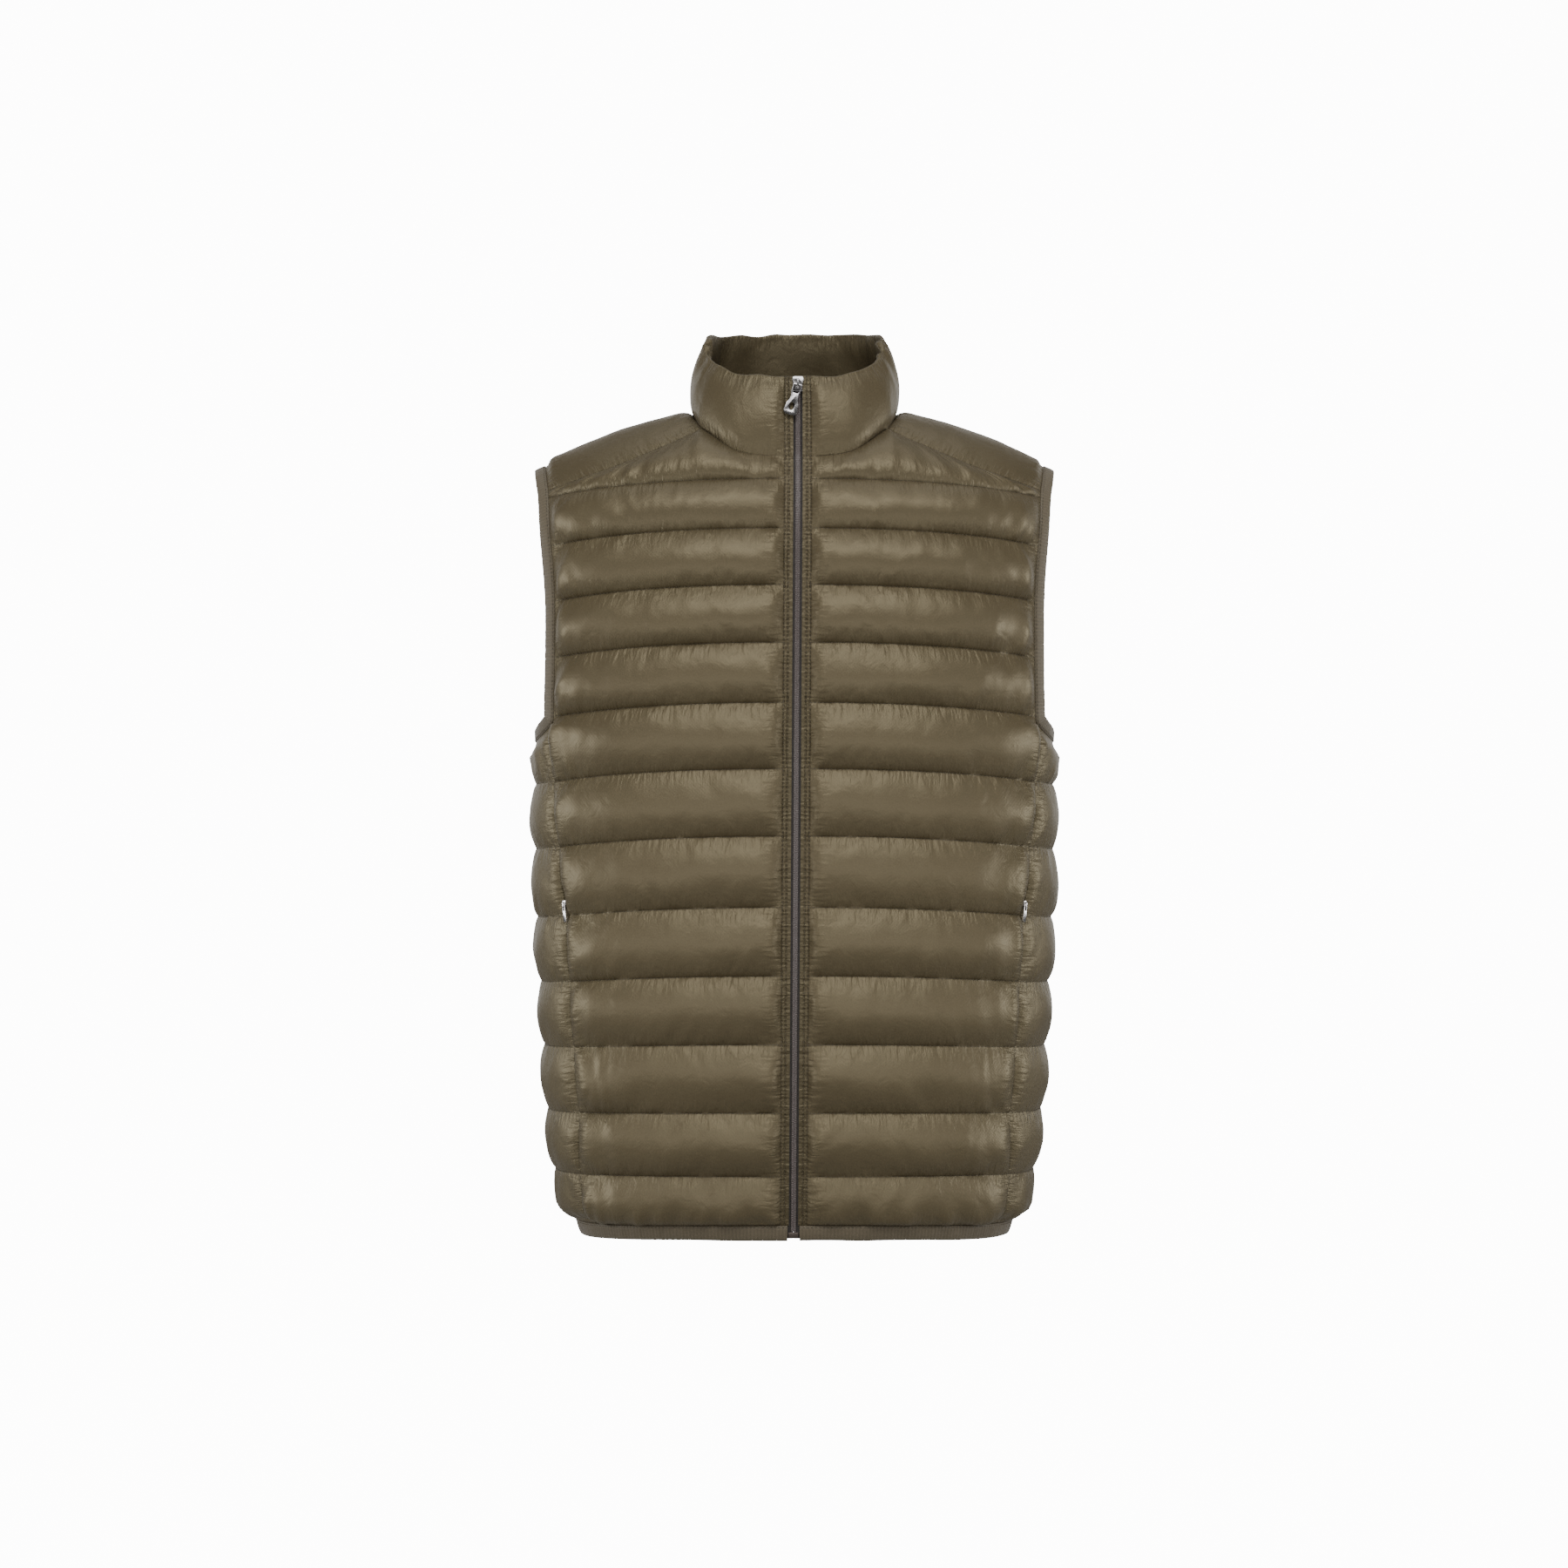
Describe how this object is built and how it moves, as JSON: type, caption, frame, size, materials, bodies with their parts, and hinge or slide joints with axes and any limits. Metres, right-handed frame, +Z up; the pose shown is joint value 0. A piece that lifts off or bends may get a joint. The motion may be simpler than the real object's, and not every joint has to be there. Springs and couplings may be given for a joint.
{
  "type": "quilted puffer vest",
  "caption": "Sleeveless quilted puffer vest with a stand collar, full front zip, bound armholes and hem, and zipped side pockets, filled out as if worn.",
  "frame": {"origin": "point between the wearer's shoulders at the base of the neck, where the vest is carried", "axes": "+Z up along the wearer, front of the vest faces -Y, +X towards the wearer's left"},
  "size_m": [0.4584, 0.2691, 0.7798],
  "materials": {
    "shell": "olive satin nylon over down",
    "binding": "olive elastic binding, matt",
    "tape": "dark woven zip tape",
    "chain": "grey nylon coil",
    "metal": "polished nickel"
  },
  "bodies": {
    "garment": {"front_left": "shell", "front_right": "shell", "side_left": "shell", "side_right": "shell", "back": "shell", "shoulder_left": "shell", "shoulder_right": "shell", "collar": "shell", "armhole_binding_left": "binding", "armhole_binding_right": "binding", "hem_binding": "binding", "zip_tape_left": "tape", "zip_tape_right": "tape", "zip_chain": "chain", "zip_box": "metal", "zip_slider": "metal", "pocket_zip_left": "tape", "pocket_zip_right": "tape", "pocket_slider_left": "metal", "pocket_slider_right": "metal"},
    "pull": {"zip_pull": "metal"},
    "pocket_tab_left": {"pocket_pull_left": "metal"},
    "pocket_tab_right": {"pocket_pull_right": "metal"}
  },
  "joints": [
    {"name": "zip_pull_swing", "type": "hinge", "parent": "garment", "child": "pull", "pos_m": [0.0028, -0.08782, 0.02623], "axis": [-0.9613, 0.0408, 0.2726], "range_deg": [0, 170]},
    {"name": "pocket_pull_left_swing", "type": "hinge", "parent": "garment", "child": "pocket_tab_left", "pos_m": [0.19518, -0.07702, -0.41228], "axis": [-0.7216, -0.681, 0.1245], "range_deg": [0, 120]},
    {"name": "pocket_pull_right_swing", "type": "hinge", "parent": "garment", "child": "pocket_tab_right", "pos_m": [-0.19518, -0.07702, -0.41228], "axis": [-0.7216, 0.681, -0.1245], "range_deg": [0, 120]}
  ]
}
